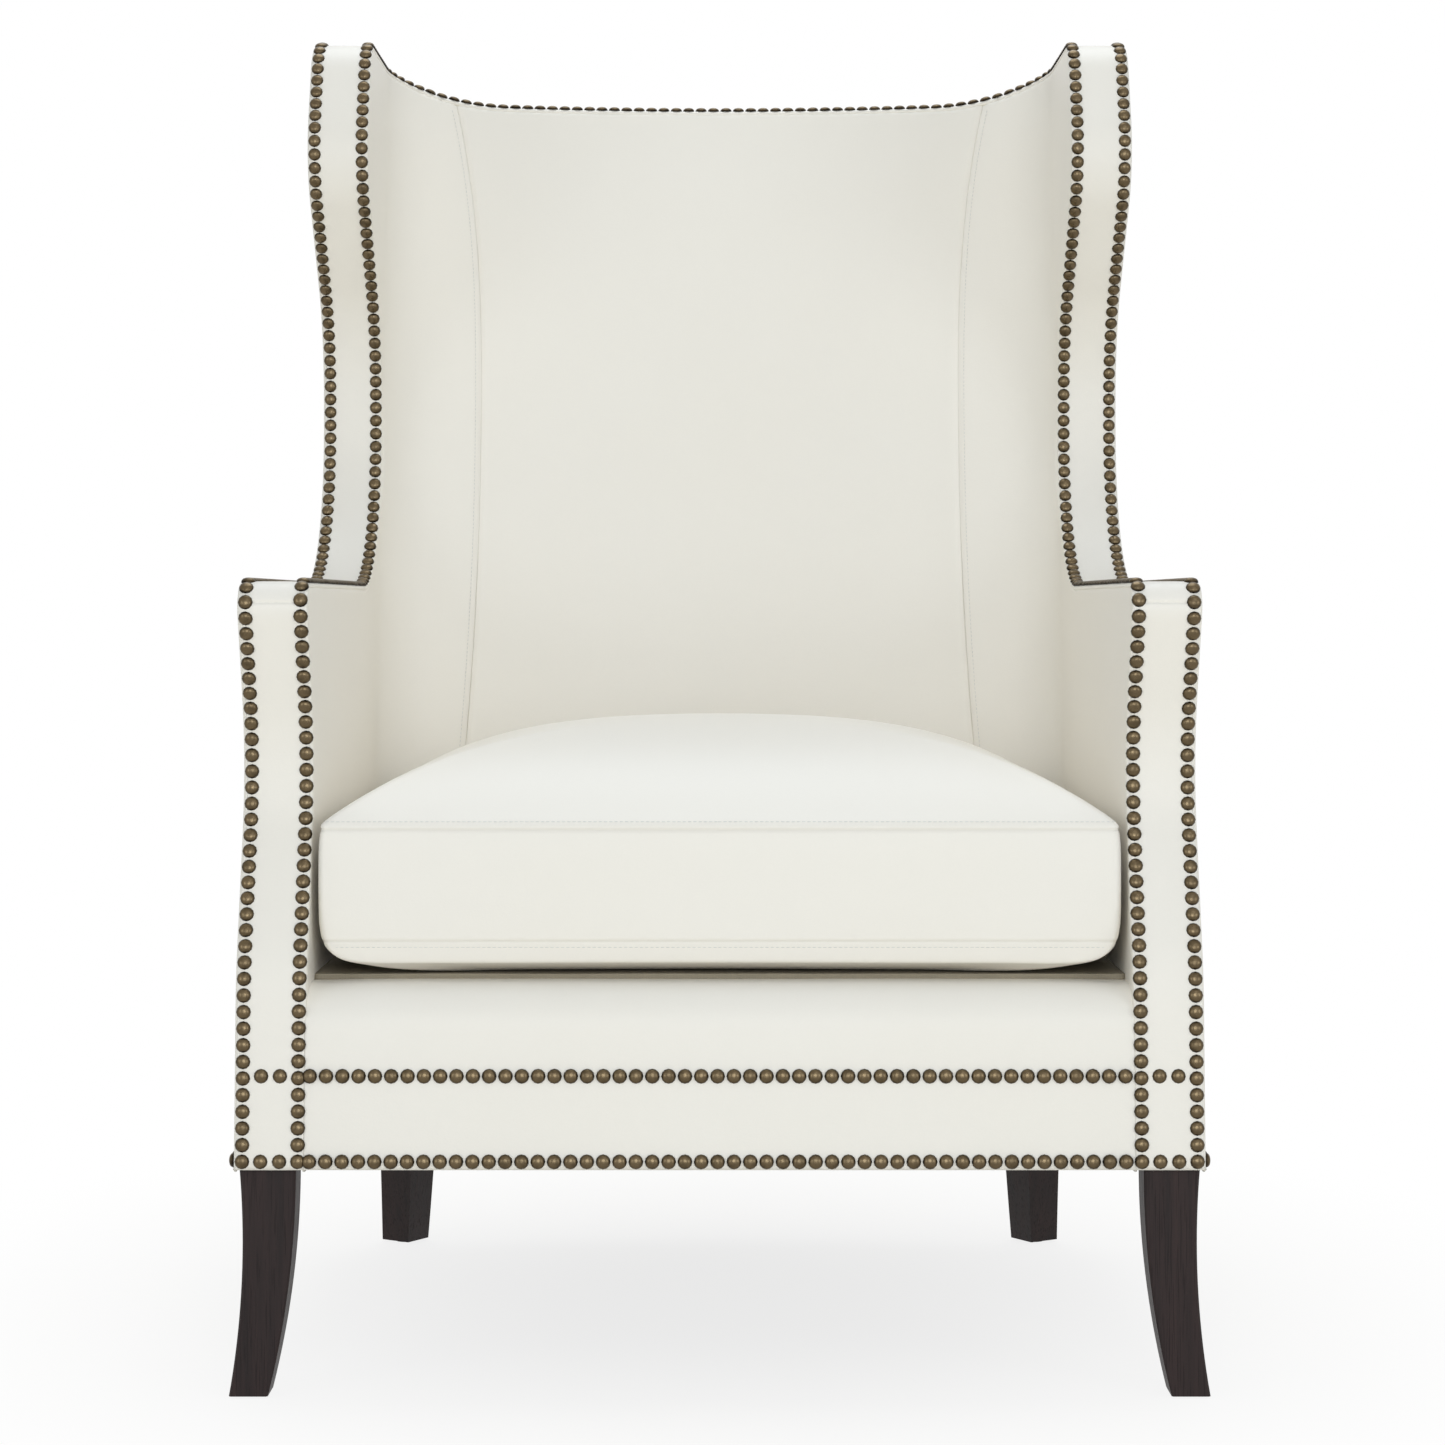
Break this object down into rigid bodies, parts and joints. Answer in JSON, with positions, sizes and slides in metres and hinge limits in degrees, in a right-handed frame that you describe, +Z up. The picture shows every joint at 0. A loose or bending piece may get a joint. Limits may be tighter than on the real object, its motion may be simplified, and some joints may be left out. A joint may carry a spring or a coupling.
{
  "type": "wing chair",
  "caption": "Upholstered wing chair in pale leather with scrolled arms and wings, a nail-trimmed edge band, a loose crowned seat cushion and dark curved wooden legs.",
  "frame": {"origin": "on the floor, under the middle of the chair's bounding box", "axes": "+X to the right seen from the front, +Y from the front to the back, +Z up"},
  "size_m": [0.7754, 0.83, 1.1565],
  "materials": {
    "leather": "smooth ivory upholstery leather with a low sheen",
    "leg_wood": "espresso stain under a satin lacquer",
    "frame_timber": "planed hardwood, unfinished",
    "hardboard": "plain hardboard",
    "foam": "upholstery foam and fibre wrap",
    "webbing": "woven elastic webbing",
    "lining_cloth": "plain woven lining",
    "steel": "zinc-plated steel",
    "glide_plastic": "moulded nylon",
    "zip_brass": "antique brass"
  },
  "bodies": {
    "chair": {"edge_band_left": "leather", "edge_band_right": "leather", "crest_band": "leather", "outside_cover_left": "leather", "outside_cover_right": "leather", "outside_back_cover": "leather", "inside_cover_left": "leather", "inside_cover_right": "leather", "inside_back_cover": "leather", "front_border_cover": "leather", "front_leg_left": "leg_wood", "front_leg_right": "leg_wood", "rear_leg_left": "leg_wood", "rear_leg_right": "leg_wood", "front_post_left": "frame_timber", "front_post_right": "frame_timber", "arm_rail_left": "frame_timber", "arm_rail_right": "frame_timber", "wing_post_left": "frame_timber", "wing_post_right": "frame_timber", "wing_top_rail_left": "frame_timber", "wing_top_rail_right": "frame_timber", "back_upright_left": "frame_timber", "back_upright_right": "frame_timber", "crest_rail": "frame_timber", "lumbar_rail": "frame_timber", "back_rail": "frame_timber", "front_rail": "frame_timber", "side_rail_left": "frame_timber", "side_rail_right": "frame_timber", "corner_blocks": "frame_timber", "outside_liner_left": "hardboard", "outside_liner_right": "hardboard", "back_liner": "hardboard", "edge_padding_left": "foam", "edge_padding_right": "foam", "crest_padding": "foam", "side_pad_left": "foam", "side_pad_right": "foam", "back_pad": "foam", "front_padding": "foam", "front_edge_roll": "foam", "deck_pad": "foam", "seat_straps_long": "webbing", "seat_straps_cross": "webbing", "back_straps": "webbing", "deck_cover": "lining_cloth", "dust_cover": "lining_cloth", "leg_bolts": "steel", "leg_inserts": "steel", "leg_glides": "glide_plastic"},
    "cushion": {"cushion_case": "leather", "cushion_wrap": "foam", "cushion_core": "foam", "zip_tape": "lining_cloth"},
    "zip_slider": {"zip_slider": "zip_brass"}
  },
  "joints": [
    {"name": "cushion_lift", "type": "slide", "parent": "chair", "child": "cushion", "axis": [0, 0, 1], "range_m": [0, 0.4]},
    {"name": "zip_slide", "type": "hinge", "parent": "cushion", "child": "zip_slider", "pos_m": [0, -0.76759, 0.399], "axis": [0, 0, 1], "range_deg": [0, 22.2]}
  ]
}
